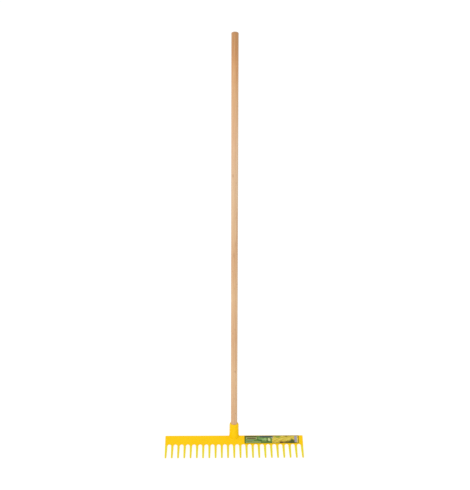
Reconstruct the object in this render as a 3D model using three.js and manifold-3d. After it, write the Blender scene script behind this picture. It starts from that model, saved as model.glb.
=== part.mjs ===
// A long-handled rake: a straight round wooden handle in the socket of a one-piece plastic head
// with a slanted plate and a row of forward-curving tines. One screw behind the socket holds the
// handle, and a printed film label lies on the front of the plate.
//
// The handle's axis is Z, the head runs along X, and the tines reach forward along -Y.
// The origin is on the handle's axis, in the plane of the socket's mouth.

import * as THREE from 'three';
import { mergeVertices } from 'three/addons/utils/BufferGeometryUtils.js';
import Module from 'manifold-3d';

const wasm = await Module();
wasm.setup();

// ---------------------------------------------------------------------------------------------
// Driving dimensions, in millimetres and degrees
// ---------------------------------------------------------------------------------------------

// Handle
const HANDLE_DIAMETER = 28;
const HANDLE_LENGTH = 1790;
const HANDLE_DOME_RADIUS = 24; // the free end is a shallow spherical dome
const HANDLE_END_FLAT = 8; // the diameter of the flat in the middle of the dome
const FOOT_NARROWING = 2; // how much thinner the handle is at its foot than at the socket's mouth
const FOOT_CHAMFER = 3;

// Socket
const SOCKET_WALL = 5.8;
const SOCKET_DRAFT = 1.5; // how much the outside gains in diameter from mouth to foot
const SOCKET_FLOOR = 3.5;
const SOCKET_FOOT_CHAMFER = 2;
const SOCKET_BELOW_PLATE_TOP = 33.5;
const MOUTH_ROUNDING_IN = 4.5; // the mouth's outer edge is rounded off, this far in
const MOUTH_ROUNDING_DOWN = 9; // and this far down
const HANDLE_CLEARANCE = 0.3;

// Plate
const PLATE_DROP = 62.5; // from the socket's mouth down to the plate's top edge
const PLATE_HEIGHT = 42.5; // along its slope, down to the top of the arches between the tines
const PLATE_THICKNESS = 4.5;
const PLATE_ANGLE = 63.5; // every slope is measured forward from straight down
const PLATE_END_MARGIN = 0.3; // plate left outside the last tine
const PLATE_CORNER_RADIUS = 3;
const LIP_DEPTH = 11; // the lip that stiffens the back of the plate, measured from its front face
const LIP_THICKNESS = 3.5;
const GUSSET_REACH = 14; // out from the side of the socket
const GUSSET_RISE = 9; // up from the plate's top edge
const GUSSET_THICKNESS = 3.5;

// Tines
const TINE_COUNT = 23;
const TINE_PITCH = 27;
const TINE_LENGTH = 85; // along the curve, from the top of the arches to the tip
const TINE_ROOT_WIDTH = 10.4;
const TINE_TIP_WIDTH = 7.6;
const TINE_ROOT_THICKNESS = 8;
const TINE_TIP_THICKNESS = 4.6;
const TINE_POINT_LENGTH = 7;
const TINE_ROOT_ANGLE = 75;
const TINE_TIP_ANGLE = 85;
const TINE_BEND_LENGTH = 12; // the short bend between the plate and the tines
const RIB_WIDTH = 6; // each tine runs on up the back of the plate as a rib
const RIB_START = 9; // below the plate's top edge

// Fixing screw
const SCREW_DIAMETER = 4.5;
const SCREW_HEAD_DIAMETER = 8.6;
const SCREW_HEAD_LAND = 0.6; // the straight edge of the countersunk head
const SCREW_BITE = 18; // how deep it goes into the handle
const SCREW_POINT_LENGTH = 4;
const SCREW_POINT_RADIUS = 0.5;
const SCREW_DROP = 30; // below the socket's mouth
const SCREW_CLEARANCE = 0.3;
const BOSS_DIAMETER = 14;
const BOSS_PROUD = 1.5;
const RECESS_WIDTH = 1.2;
const RECESS_SPAN = 4.6;
const RECESS_DEPTH = 1.8;

// Label
const LABEL_SOCKET_GAP = 26; // from the side of the socket
const LABEL_END_GAP = 18.5; // from the end of the plate
const LABEL_EDGE_MARGIN = 2; // above and below
const LABEL_THICKNESS = 0.4;
const LABEL_GAP = 0.3; // the thickness of its adhesive
const LABEL_CORNER_RADIUS = 1.5;

// Facets
const ROUND_SEGMENTS = 48;
const SCREW_SEGMENTS = 24;
const ARC_SEGMENTS = 4;
const BEND_STEPS = 4;
const OVERCUT = 5; // how far a cutting solid runs past what it cuts

// ---------------------------------------------------------------------------------------------
// Sizes that follow from them
// ---------------------------------------------------------------------------------------------

const handleRadius = HANDLE_DIAMETER / 2;
const footRadius = handleRadius - FOOT_NARROWING / 2;
const boreRadius = handleRadius + HANDLE_CLEARANCE;
const boreFootRadius = footRadius + HANDLE_CLEARANCE;
const socketRadius = boreRadius + SOCKET_WALL;
const socketFootRadius = socketRadius + SOCKET_DRAFT / 2;
const socketBottom = -(PLATE_DROP + SOCKET_BELOW_PLATE_TOP);
const boreBottom = socketBottom + SOCKET_FLOOR;
const handleBottom = boreBottom + HANDLE_CLEARANCE;
const handleTop = handleBottom + HANDLE_LENGTH;

const archRadius = (TINE_PITCH - TINE_ROOT_WIDTH) / 2;
const outerTineX = ((TINE_COUNT - 1) / 2) * TINE_PITCH;
const halfWidth = outerTineX + TINE_ROOT_WIDTH / 2 + PLATE_END_MARGIN;
const rootDistance = PLATE_HEIGHT + archRadius;
const tipDistance = PLATE_HEIGHT + TINE_LENGTH;
const tineXs = Array.from({ length: TINE_COUNT }, (_, i) => i * TINE_PITCH - outerTineX);
const archXs = tineXs.slice(1).map((x) => x - TINE_PITCH / 2);

// ---------------------------------------------------------------------------------------------
// The head's shape seen from the side
// ---------------------------------------------------------------------------------------------

// The front face runs straight down the plate, bends a little below it and then follows one long
// gentle curve to the tips. A stretch turns evenly from one slope to the next.
const stretches = [
	{ length: PLATE_HEIGHT, from: PLATE_ANGLE, to: PLATE_ANGLE },
	{ length: TINE_BEND_LENGTH, from: PLATE_ANGLE, to: TINE_ROOT_ANGLE },
	{ length: TINE_LENGTH - TINE_BEND_LENGTH, from: TINE_ROOT_ANGLE, to: TINE_TIP_ANGLE },
];

// The distances down the front face at which its facets meet, the same for every band, so that
// bands joined to each other share one front surface.
const facetStops = [0];
for (const { length, from, to } of stretches) {
	const start = facetStops[facetStops.length - 1];
	const steps = from === to ? 1 : BEND_STEPS;
	for (let i = 1; i <= steps; i++) facetStops.push(start + (length * i) / steps);
}

const radians = THREE.MathUtils.degToRad;

// A direction in the Y-Z plane at a slope, pointing down and forward.
function downSlope(angle) {
	return new THREE.Vector2(-Math.sin(radians(angle)), -Math.cos(radians(angle)));
}

// The front face's own direction outward at a slope: forward and up.
function outward(angle) {
	return new THREE.Vector2(-Math.cos(radians(angle)), Math.sin(radians(angle)));
}

// The point (y, z) at a distance down the front face from the plate's top edge, and the slope
// there. An arc's chord lies along its middle slope.
function frontAt(distance) {
	const point = new THREE.Vector2(0, -PLATE_DROP);
	let angle = PLATE_ANGLE;
	let left = distance;
	for (const { length, from, to } of stretches) {
		const run = Math.min(left, length);
		const end = from + ((to - from) * run) / length;
		const halfTurn = radians(end - from) / 2;
		const chord = halfTurn ? (run * Math.sin(halfTurn)) / halfTurn : run;
		point.addScaledVector(downSlope((from + end) / 2), chord);
		angle = end;
		left -= run;
		if (left <= 0) break;
	}
	return { point, angle };
}

// The point at a distance down the front face and a depth behind it.
function behindFront(distance, depth) {
	const { point, angle } = frontAt(distance);
	return point.addScaledVector(outward(angle), -depth);
}

// ---------------------------------------------------------------------------------------------
// Solids
// ---------------------------------------------------------------------------------------------

// Turns a closed geometry into a solid that can be joined and cut.
function solid(geometry) {
	const bare = geometry.clone();
	bare.deleteAttribute('normal');
	bare.deleteAttribute('uv');
	const merged = mergeVertices(bare);
	const vertProperties = new Float32Array(merged.attributes.position.array);
	const triVerts = new Uint32Array(merged.index.array);
	return new wasm.Manifold(new wasm.Mesh({ numProp: 3, vertProperties, triVerts }));
}

// Turns a solid back into a geometry with flat shading.
function geometryOf(manifold) {
	const { vertProperties, triVerts } = manifold.getMesh();
	const geometry = new THREE.BufferGeometry();
	geometry.setAttribute('position', new THREE.BufferAttribute(new Float32Array(vertProperties), 3));
	geometry.setIndex(new THREE.BufferAttribute(new Uint32Array(triVerts), 1));
	geometry.computeVertexNormals();
	return geometry;
}

// A solid of revolution about Z from a list of [radius, z], which starts and ends on the axis.
function turned(profile, segments) {
	const points = profile.map(([radius, z]) => new THREE.Vector2(radius, z));
	return new THREE.LatheGeometry(points, segments).rotateX(Math.PI / 2);
}

// An outline in the Y-Z plane, drawn out along X between two places.
function drawnAlongX(points, fromX, toX) {
	const shape = new THREE.Shape(points);
	const geometry = new THREE.ExtrudeGeometry(shape, { depth: toX - fromX, bevelEnabled: false });
	const axes = new THREE.Matrix4().makeBasis(
		new THREE.Vector3(0, 1, 0),
		new THREE.Vector3(0, 0, 1),
		new THREE.Vector3(1, 0, 0),
	);
	return geometry.applyMatrix4(axes).translate(fromX, 0, 0);
}

// A band under the front face, whose depth goes evenly through the given [distance, depth] pairs.
function band(fromX, toX, depths) {
	const first = depths[0][0];
	const last = depths[depths.length - 1][0];
	const inside = facetStops.filter((stop) => stop > first && stop < last);
	const stops = new Set([...depths.map(([distance]) => distance), ...inside]);
	const distances = [...stops].sort((a, b) => a - b);
	const depthAt = (distance) => {
		const i = Math.max(1, depths.findIndex(([end]) => end >= distance));
		const [d0, t0] = depths[i - 1];
		const [d1, t1] = depths[i];
		return t0 + ((t1 - t0) * (distance - d0)) / (d1 - d0);
	};
	const front = distances.map((d) => behindFront(d, 0));
	const back = distances.map((d) => behindFront(d, depthAt(d))).reverse();
	return drawnAlongX([...front, ...back].reverse(), fromX, toX);
}

// ---------------------------------------------------------------------------------------------
// The outlines that trim the head, drawn square to the tines' roots
// ---------------------------------------------------------------------------------------------

const trimDown = downSlope(TINE_ROOT_ANGLE);
const trimOut = outward(TINE_ROOT_ANGLE);
const trimOrigin = frontAt(0).point;

// Where a distance down the front face falls on the trimming plane.
function onTrim(distance) {
	return frontAt(distance).point.sub(trimOrigin).dot(trimDown);
}

// Outlines drawn as (x, distance down the trimming plane) become prisms through the whole head.
function trimmingPrism(shapes) {
	const reach = onTrim(tipDistance);
	const geometry = new THREE.ExtrudeGeometry(shapes, {
		depth: 2 * reach,
		bevelEnabled: false,
		curveSegments: ARC_SEGMENTS,
	});
	const axes = new THREE.Matrix4().makeBasis(
		new THREE.Vector3(1, 0, 0),
		new THREE.Vector3(0, trimDown.x, trimDown.y),
		new THREE.Vector3(0, -trimOut.x, -trimOut.y),
	);
	const start = trimOrigin.clone().addScaledVector(trimOut, reach);
	return geometry.applyMatrix4(axes).translate(0, start.x, start.y);
}

// The plate's outline: rounded top corners, and an arch between each tine and the next.
function plateOutline() {
	const bottom = onTrim(PLATE_HEIGHT) + archRadius;
	const corner = PLATE_CORNER_RADIUS;
	const shape = new THREE.Shape();
	shape.moveTo(-halfWidth, bottom);
	shape.lineTo(-halfWidth, corner);
	shape.absarc(-halfWidth + corner, corner, corner, Math.PI, 1.5 * Math.PI, false);
	shape.lineTo(halfWidth - corner, 0);
	shape.absarc(halfWidth - corner, corner, corner, 1.5 * Math.PI, 2 * Math.PI, false);
	shape.lineTo(halfWidth, bottom);
	for (const x of [...archXs].reverse()) {
		shape.lineTo(x + archRadius, bottom);
		shape.absarc(x, bottom, archRadius, 0, Math.PI, true);
	}
	return shape;
}

// A tine's outline: a narrow rib up the back of the plate, then the tine tapering to its point.
function tineOutline(x) {
	const rib = RIB_WIDTH / 2;
	const root = TINE_ROOT_WIDTH / 2;
	const end = TINE_TIP_WIDTH / 2;
	const tip = onTrim(tipDistance);
	const shoulder = tip - TINE_POINT_LENGTH;
	const shape = new THREE.Shape();
	shape.moveTo(x - rib, onTrim(RIB_START));
	shape.lineTo(x + rib, onTrim(RIB_START));
	shape.lineTo(x + rib, onTrim(PLATE_HEIGHT));
	shape.lineTo(x + root, onTrim(PLATE_HEIGHT) + archRadius);
	shape.lineTo(x + end, shoulder);
	shape.absellipse(x, shoulder, end, TINE_POINT_LENGTH, 0, Math.PI, false);
	shape.lineTo(x - root, onTrim(PLATE_HEIGHT) + archRadius);
	shape.lineTo(x - rib, onTrim(PLATE_HEIGHT));
	shape.closePath();
	return shape;
}

// ---------------------------------------------------------------------------------------------
// Pieces
// ---------------------------------------------------------------------------------------------

// The screw's outline grown by a clearance, along Z with its head's flat face at z = 0.
function screwProfile(grow) {
	const head = SCREW_HEAD_DIAMETER / 2 + grow;
	const shank = SCREW_DIAMETER / 2 + grow;
	const length = BOSS_PROUD + SOCKET_WALL + HANDLE_CLEARANCE + SCREW_BITE;
	return [
		[0, 0],
		[head, 0],
		[head, -SCREW_HEAD_LAND - grow],
		[shank, -SCREW_HEAD_LAND - grow - (head - shank)],
		[shank, -length + SCREW_POINT_LENGTH],
		[SCREW_POINT_RADIUS + grow, -length - grow],
		[0, -length - grow],
	].reverse();
}

// Puts a geometry made along Z in the screw's place: from behind, square to the socket.
function inScrewPlace(geometry) {
	return geometry.rotateX(-Math.PI / 2).translate(0, socketRadius + BOSS_PROUD, -SCREW_DROP);
}

function screwHole() {
	const hole = turned(screwProfile(SCREW_CLEARANCE), SCREW_SEGMENTS);
	const mouth = new THREE.CylinderGeometry(1, 1, OVERCUT, SCREW_SEGMENTS).rotateX(Math.PI / 2);
	const radius = SCREW_HEAD_DIAMETER / 2 + SCREW_CLEARANCE;
	mouth.scale(radius, radius, 1).translate(0, 0, OVERCUT / 2 - SCREW_CLEARANCE);
	return solid(inScrewPlace(hole)).add(solid(inScrewPlace(mouth)));
}

function makeHandle() {
	const profile = [[0, handleBottom]];
	profile.push([footRadius - FOOT_CHAMFER, handleBottom]);
	profile.push([footRadius, handleBottom + FOOT_CHAMFER]);
	profile.push([handleRadius, 0]);
	const flatRadius = HANDLE_END_FLAT / 2;
	const domeHeight = (radius) => Math.sqrt(HANDLE_DOME_RADIUS ** 2 - radius ** 2);
	for (let i = 0; i <= ARC_SEGMENTS; i++) {
		const radius = handleRadius + ((flatRadius - handleRadius) * i) / ARC_SEGMENTS;
		profile.push([radius, handleTop + domeHeight(radius) - domeHeight(flatRadius)]);
	}
	profile.push([0, handleTop]);
	return solid(turned(profile, ROUND_SEGMENTS)).subtract(screwHole());
}

function makeSocket() {
	const profile = [[0, socketBottom]];
	profile.push([socketFootRadius - SOCKET_FOOT_CHAMFER, socketBottom]);
	profile.push([socketFootRadius, socketBottom + SOCKET_FOOT_CHAMFER]);
	for (let i = 0; i <= ARC_SEGMENTS; i++) {
		const turn = (i / ARC_SEGMENTS) * (Math.PI / 2);
		profile.push([
			socketRadius - MOUTH_ROUNDING_IN * (1 - Math.cos(turn)),
			-MOUTH_ROUNDING_DOWN * (1 - Math.sin(turn)),
		]);
	}
	profile.push([0, 0]);
	return solid(turned(profile, ROUND_SEGMENTS));
}

function makeBore() {
	return solid(turned([
		[0, boreBottom],
		[boreFootRadius, boreBottom],
		[boreRadius, 0],
		[boreRadius, OVERCUT],
		[0, OVERCUT],
	], ROUND_SEGMENTS));
}

// A web on each side of the socket, in one piece. Its foot is as low as the lip's top face is at
// the back of the web, so its curved edges run out into the lip.
function makeGussets() {
	const foot = -PLATE_DROP - GUSSET_THICKNESS * Math.tan(radians(PLATE_ANGLE));
	const top = -PLATE_DROP + GUSSET_RISE;
	const outer = socketRadius + GUSSET_REACH;
	const shape = new THREE.Shape();
	shape.moveTo(-outer, foot);
	shape.lineTo(outer, foot);
	shape.quadraticCurveTo(socketRadius, foot, socketRadius, top);
	shape.lineTo(-socketRadius, top);
	shape.quadraticCurveTo(-socketRadius, foot, -outer, foot);
	const settings = { depth: GUSSET_THICKNESS, bevelEnabled: false, curveSegments: ARC_SEGMENTS };
	const geometry = new THREE.ExtrudeGeometry(shape, settings).rotateX(Math.PI / 2);
	return solid(geometry.translate(0, GUSSET_THICKNESS, 0));
}

function makeHead() {
	const bottom = facetStops.find((stop) => stop > rootDistance);
	const lip = [behindFront(0, 0), behindFront(LIP_THICKNESS, 0)];
	lip.push(behindFront(LIP_THICKNESS, LIP_DEPTH), behindFront(0, LIP_DEPTH));
	const plateDepths = [[0, PLATE_THICKNESS], [bottom, PLATE_THICKNESS]];
	const plate = solid(band(-halfWidth, halfWidth, plateDepths))
		.add(solid(drawnAlongX(lip.reverse(), -halfWidth, halfWidth)))
		.intersect(solid(trimmingPrism([plateOutline()])));
	const tines = solid(band(-halfWidth, halfWidth, [
		[RIB_START, PLATE_THICKNESS],
		[PLATE_HEIGHT, TINE_ROOT_THICKNESS],
		[tipDistance, TINE_TIP_THICKNESS],
	])).intersect(solid(trimmingPrism(tineXs.map(tineOutline))));
	const boss = new THREE.CylinderGeometry(1, 1, 1, SCREW_SEGMENTS)
		.scale(BOSS_DIAMETER / 2, SOCKET_WALL + BOSS_PROUD, BOSS_DIAMETER / 2)
		.translate(0, boreRadius + (SOCKET_WALL + BOSS_PROUD) / 2, -SCREW_DROP);
	return plate
		.add(tines)
		.add(makeSocket())
		.add(makeGussets())
		.add(solid(boss))
		.subtract(makeBore())
		.subtract(screwHole());
}

function makeScrew() {
	const bar = new THREE.BoxGeometry(RECESS_SPAN, RECESS_WIDTH, 2 * RECESS_DEPTH);
	const cross = solid(bar).add(solid(bar.clone().rotateZ(Math.PI / 2)));
	return solid(turned(screwProfile(0), SCREW_SEGMENTS)).subtract(cross);
}

// The label lies on the front face, from near the socket to near the plate's right end.
const labelFromX = socketRadius + LABEL_SOCKET_GAP;
const labelToX = halfWidth - LABEL_END_GAP;

function makeLabel() {
	const w = (labelToX - labelFromX) / 2;
	const h = PLATE_HEIGHT / 2 - LABEL_EDGE_MARGIN;
	const r = LABEL_CORNER_RADIUS;
	const shape = new THREE.Shape();
	shape.moveTo(-w + r, -h);
	shape.absarc(w - r, -h + r, r, 1.5 * Math.PI, 2 * Math.PI, false);
	shape.absarc(w - r, h - r, r, 0, 0.5 * Math.PI, false);
	shape.absarc(-w + r, h - r, r, 0.5 * Math.PI, Math.PI, false);
	shape.absarc(-w + r, -h + r, r, Math.PI, 1.5 * Math.PI, false);
	return new THREE.ExtrudeGeometry(shape, {
		depth: LABEL_THICKNESS,
		bevelEnabled: false,
		curveSegments: ARC_SEGMENTS,
	});
}

// ---------------------------------------------------------------------------------------------
// Assembly
// ---------------------------------------------------------------------------------------------

const materials = {
	wood: { color: 0xdcb184, roughness: 0.62, metalness: 0 },
	polypropylene: { color: 0xfccb06, roughness: 0.42, metalness: 0 },
	zincPlatedSteel: { color: 0xbfc3c8, roughness: 0.35, metalness: 0.9 },
	printedFilm: { color: 0x6d8a3c, roughness: 0.3, metalness: 0 },
};

function named(name, geometry, look) {
	const mesh = new THREE.Mesh(geometry, new THREE.MeshStandardMaterial(look));
	mesh.name = name;
	return mesh;
}

const group = new THREE.Group();

group.add(named('handle', geometryOf(makeHandle()), materials.wood));
group.add(named('rake_head', geometryOf(makeHead()), materials.polypropylene));

const screw = named('fixing_screw', geometryOf(makeScrew()), materials.zincPlatedSteel);
screw.position.set(0, socketRadius + BOSS_PROUD, -SCREW_DROP);
screw.rotation.x = -Math.PI / 2;
group.add(screw);

const labelMiddle = behindFront(PLATE_HEIGHT / 2, -LABEL_GAP);
const label = named('label', makeLabel(), materials.printedFilm);
label.position.set((labelFromX + labelToX) / 2, labelMiddle.x, labelMiddle.y);
label.rotation.x = radians(90 - PLATE_ANGLE);
group.add(label);

export default group;
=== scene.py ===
# A long-handled rake: a round wooden handle driven into a one-piece plastic head with a slanted
# plate and 23 forward-curving tines, held by one screw and dressed with a printed film label.
# Lengths are in metres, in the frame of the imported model: +Z up, tines towards -Y.

import math

import bmesh
import bpy
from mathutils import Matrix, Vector, noise


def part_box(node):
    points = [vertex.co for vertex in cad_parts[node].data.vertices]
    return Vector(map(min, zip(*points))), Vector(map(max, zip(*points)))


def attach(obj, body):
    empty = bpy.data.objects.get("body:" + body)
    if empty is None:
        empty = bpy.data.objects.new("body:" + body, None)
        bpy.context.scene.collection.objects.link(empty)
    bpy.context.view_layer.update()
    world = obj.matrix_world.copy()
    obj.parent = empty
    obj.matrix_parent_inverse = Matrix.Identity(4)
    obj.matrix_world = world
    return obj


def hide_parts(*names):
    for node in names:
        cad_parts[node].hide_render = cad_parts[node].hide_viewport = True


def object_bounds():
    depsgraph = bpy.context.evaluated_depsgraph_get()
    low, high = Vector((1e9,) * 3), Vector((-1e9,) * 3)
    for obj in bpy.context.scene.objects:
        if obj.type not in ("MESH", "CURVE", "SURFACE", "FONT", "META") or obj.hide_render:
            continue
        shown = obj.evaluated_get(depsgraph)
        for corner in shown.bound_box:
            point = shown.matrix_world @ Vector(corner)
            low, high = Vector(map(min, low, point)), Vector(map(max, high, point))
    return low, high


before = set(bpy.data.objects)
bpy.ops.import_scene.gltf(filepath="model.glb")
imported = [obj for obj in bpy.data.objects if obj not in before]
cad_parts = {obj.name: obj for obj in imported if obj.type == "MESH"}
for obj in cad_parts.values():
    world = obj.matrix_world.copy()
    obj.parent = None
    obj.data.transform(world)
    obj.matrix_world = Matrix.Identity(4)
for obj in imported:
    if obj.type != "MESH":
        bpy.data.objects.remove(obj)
cad_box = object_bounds()


# ---------------------------------------------------------------------------------------------
# Camera, floor and light
# The rake stands in a white studio. The camera is above head height and four metres off, the
# floor is lit paper that runs out white to the horizon, and one large soft light stands high on
# the left, so that no shadow has a hard edge.
# ---------------------------------------------------------------------------------------------


def linear(hex_colour):
    """The linear RGBA of an sRGB colour written as "#rrggbb"."""
    channels = [int(hex_colour[i:i + 2], 16) / 255 for i in (1, 3, 5)]
    return [c / 12.92 if c <= 0.04045 else ((c + 0.055) / 1.055) ** 2.4 for c in channels] + [1.0]


def new_material(name, **constants):
    """A material of that name, its node tree and its shader, with the shader's constants set."""
    material = bpy.data.materials.new(name)
    material.use_nodes = True
    shader = material.node_tree.nodes["Principled BSDF"]
    for socket, value in constants.items():
        shader.inputs[socket.replace("_", " ")].default_value = value
    return material, material.node_tree, shader


bpy.ops.object.select_all(action="DESELECT")

CAMERA_PLACE = (-0.050, -3.833, 2.271)
CAMERA_PITCH = 20.546           # degrees below level
CAMERA_YAW = -0.725             # degrees to the left, so this is a little to the right
CAMERA_ROLL = -0.14             # degrees
CAMERA_LENS = 73.47             # in mm, as the next one
CAMERA_FRAME = 36               # the height of the film
CAMERA_SIGHT = 200              # in metres

camera_data = bpy.data.cameras.new("camera")
camera_data.lens = CAMERA_LENS
camera_data.sensor_width = CAMERA_FRAME
camera_data.clip_end = CAMERA_SIGHT
camera = bpy.data.objects.new("camera", camera_data)
bpy.context.scene.collection.objects.link(camera)
camera.location = CAMERA_PLACE
camera.rotation_euler = [math.radians(a) for a in (90 - CAMERA_PITCH, CAMERA_ROLL, CAMERA_YAW)]
bpy.context.scene.camera = camera
bpy.context.scene.view_settings.view_transform = "Standard"

FLOOR_SIZE = 80
bpy.ops.mesh.primitive_plane_add(size=FLOOR_SIZE, location=(0, 0, cad_box[0].z))
floor = bpy.context.active_object
floor.name = "floor"

# Lit from below as well as above, as a product table is, so that no shadow is left on it.
paper = new_material(
    "backlit_white_paper",
    Base_Color=linear("#808080"),
    Roughness=0.9,
    Specular_IOR_Level=0.0,
    Emission_Color=linear("#ffffff"),
    Emission_Strength=0.86,
)[0]
floor.data.materials.append(paper)

world = bpy.data.worlds.new("studio")
world.use_nodes = True
bpy.context.scene.world = world
background = world.node_tree.nodes["Background"]
background.inputs["Color"].default_value = linear("#ffffff")
background.inputs["Strength"].default_value = 0.88

KEY_PLACE = (-3.2, -3.6, 3.6)
KEY_TARGET = (0, 0, 0.6)
KEY_SIZE = 2.6
KEY_POWER = 70

key_light = bpy.data.lights.new("key", "AREA")
key_light.shape = "RECTANGLE"
key_light.size = KEY_SIZE
key_light.size_y = KEY_SIZE
key_light.energy = KEY_POWER
key = bpy.data.objects.new("key", key_light)
bpy.context.scene.collection.objects.link(key)
key.location = KEY_PLACE
key.rotation_euler = (Vector(KEY_TARGET) - Vector(KEY_PLACE)).to_track_quat("-Z", "Y").to_euler()


# ---------------------------------------------------------------------------------------------
# Handle
# A round of pine or spruce from a dowel machine, 28 mm thick, sanded and left raw. Its free end
# is a shallow dome, and its foot is turned to a slight taper that wedges in the head's socket.
# ---------------------------------------------------------------------------------------------

MM = 0.001
HANDLE_SIDES = 64
HANDLE_ROW = 30 * MM            # between the rings along the handle
FOOT_CHAMFER = 3 * MM
FOOT_NARROWING = 1 * MM         # in radius, from the socket's mouth to the foot
DOME_RADIUS = 24 * MM
DOME_FLAT = 4 * MM              # the radius of the flat in the middle of the dome
DOME_EDGE = 0.8 * MM            # the rounding between the dome and the handle's side
DOME_STEPS = 8
SANDING_UNEVENNESS = 0.12 * MM
SANDING_WAVES = 9               # to the metre
SANDING_START = 20 * MM         # above the socket's mouth, so the foot stays true
SMOOTH_WOOD = 40                # degrees: an edge that turns less is shaded smooth

handle_low, handle_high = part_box("handle")
handle_radius = handle_high.x


def edit(piece):
    """Opens a piece in edit mode with nothing selected."""
    bpy.ops.object.select_all(action="DESELECT")
    bpy.context.view_layer.objects.active = piece
    piece.select_set(True)
    bpy.ops.object.mode_set(mode="EDIT")
    bpy.ops.mesh.select_all(action="DESELECT")


def close(piece, name):
    """Leaves edit mode and gives the piece its name, with its place in its mesh."""
    bpy.ops.object.mode_set(mode="OBJECT")
    bpy.ops.object.transform_apply(location=True, rotation=True, scale=True)
    piece.name = name
    piece.data.name = name


def turn_up(name, sides, rings):
    """A turned piece about Z: a disc extruded ring by ring through the given (radius, height)."""
    radius, height = rings[0]
    bpy.ops.mesh.primitive_circle_add(
        vertices=sides, radius=radius, fill_type="NGON", location=(0, 0, height))
    piece = bpy.context.active_object
    bpy.ops.object.mode_set(mode="EDIT")
    bpy.ops.mesh.select_all(action="SELECT")
    for next_radius, next_height in rings[1:]:
        rise = (0, 0, next_height - height)
        bpy.ops.mesh.extrude_region_move(TRANSFORM_OT_translate={"value": rise})
        grow = next_radius / radius
        bpy.ops.transform.resize(value=(grow, grow, 1), center_override=(0, 0, next_height))
        radius, height = next_radius, next_height
    bpy.ops.mesh.select_all(action="SELECT")
    bpy.ops.mesh.normals_make_consistent(inside=False)
    close(piece, name)
    return piece


def smooth(piece, degrees):
    """Smooth shading across every edge that turns less than an angle."""
    bpy.ops.object.select_all(action="DESELECT")
    piece.select_set(True)
    bpy.context.view_layer.objects.active = piece
    bpy.ops.object.shade_smooth_by_angle(angle=math.radians(degrees))


foot_radius = handle_radius - FOOT_NARROWING
handle_rings = [
    (foot_radius - FOOT_CHAMFER, handle_low.z),
    (foot_radius, handle_low.z + FOOT_CHAMFER),
]
dome_rings = []
for i in range(DOME_STEPS + 1):
    radius = handle_radius + (DOME_FLAT - handle_radius) * i / DOME_STEPS
    sink = math.sqrt(DOME_RADIUS ** 2 - DOME_FLAT ** 2) - math.sqrt(DOME_RADIUS ** 2 - radius ** 2)
    dome_rings.append((radius, handle_high.z - sink))

# The rounding of the dome's edge has one ring between, a quarter of it in and four fifths up.
side_top = dome_rings[0][1] - DOME_EDGE
row_count = math.floor(side_top / HANDLE_ROW)
handle_rings += [(handle_radius, i * HANDLE_ROW) for i in range(row_count + 1)]
handle_rings.append((handle_radius, side_top))
handle_rings.append((handle_radius - DOME_EDGE / 4, side_top + DOME_EDGE * 0.8))
handle_rings += dome_rings[1:]
handle = turn_up("dowel_handle", HANDLE_SIDES, handle_rings)

# Machine sanding leaves the round a little uneven, so its highlights waver. The wave runs from
# -1 to 1 and is lowered by 1, because sanding only takes wood off.
wave_start = Vector((3.1, 0.4, 7.7))
for vertex in handle.data.vertices:
    wave = noise.noise(vertex.co * SANDING_WAVES + wave_start)
    outward = Vector((vertex.co.x, vertex.co.y, 0))
    if outward.length > handle_radius / 2 and vertex.co.z > SANDING_START:
        vertex.co += outward.normalized() * SANDING_UNEVENNESS * (wave - 1)
smooth(handle, SMOOTH_WOOD)


def add_node(tree, kind, inputs=None, **settings):
    """A node with its settings made. An input is a value, or the output that it is linked to."""
    node = tree.nodes.new(kind)
    for name, value in settings.items():
        setattr(node, name, value)
    for name, value in (inputs or {}).items():
        if isinstance(value, bpy.types.NodeSocket):
            tree.links.new(value, node.inputs[name])
        else:
            node.inputs[name].default_value = value
    return node


# Raw sanded pine: a matt surface with a soft silky edge, paler early wood between darker late
# wood, which shows as long flames where the rings run out of the round, and small brown knots.
pine, tree, shader = new_material(
    "sanded_raw_pine", Roughness=0.58, Specular_IOR_Level=0.35, Sheen_Weight=0.12)
place = add_node(tree, "ShaderNodeTexCoord").outputs["Object"]

# The growth rings lie round the tree's centre, which is outside the round, lean a little, and
# wander. A Wave node of scale 1 makes 20 / tau of them to the metre.
RING_SPACING = 3.4 * MM
PITH_PLACE = (-30 * MM, 24 * MM)
PITH_LEAN = (math.radians(0.5), math.radians(-0.35), 0)
WANDERS = (14, 14, 2.2)         # to the metre: about 70 mm across and 450 mm along
WANDER_REACH = 14 * MM
ring_place = add_node(tree, "ShaderNodeMapping", {
    "Vector": place,
    "Location": (-PITH_PLACE[0], -PITH_PLACE[1], 0),
    "Rotation": PITH_LEAN,
}).outputs["Vector"]
wander = add_node(tree, "ShaderNodeTexNoise", {
    "Vector": add_node(tree, "ShaderNodeMapping", {
        "Vector": place,
        "Scale": WANDERS,
    }).outputs["Vector"],
    "Scale": 1.0,
    "Detail": 2.0,
}).outputs["Color"]
wander = add_node(tree, "ShaderNodeVectorMath", {0: wander, 1: (0.5, 0.5, 0.5)}, operation="SUBTRACT")
wander = add_node(tree, "ShaderNodeVectorMath", {
    0: wander.outputs["Vector"],
    "Scale": WANDER_REACH,
}, operation="SCALE")
ring_place = add_node(tree, "ShaderNodeVectorMath", {0: ring_place, 1: wander.outputs["Vector"]})
rings = add_node(tree, "ShaderNodeTexWave", {
    "Vector": ring_place.outputs["Vector"],
    "Scale": math.tau / 20 / RING_SPACING,
    "Distortion": 0.0,
}, wave_type="RINGS", rings_direction="Z", wave_profile="SAW").outputs["Fac"]
late_wood = add_node(tree, "ShaderNodeMapRange", {
    "Value": rings,
    "From Min": 0.35,
    "From Max": 0.95,
}, interpolation_type="SMOOTHSTEP").outputs["Result"]

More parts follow.
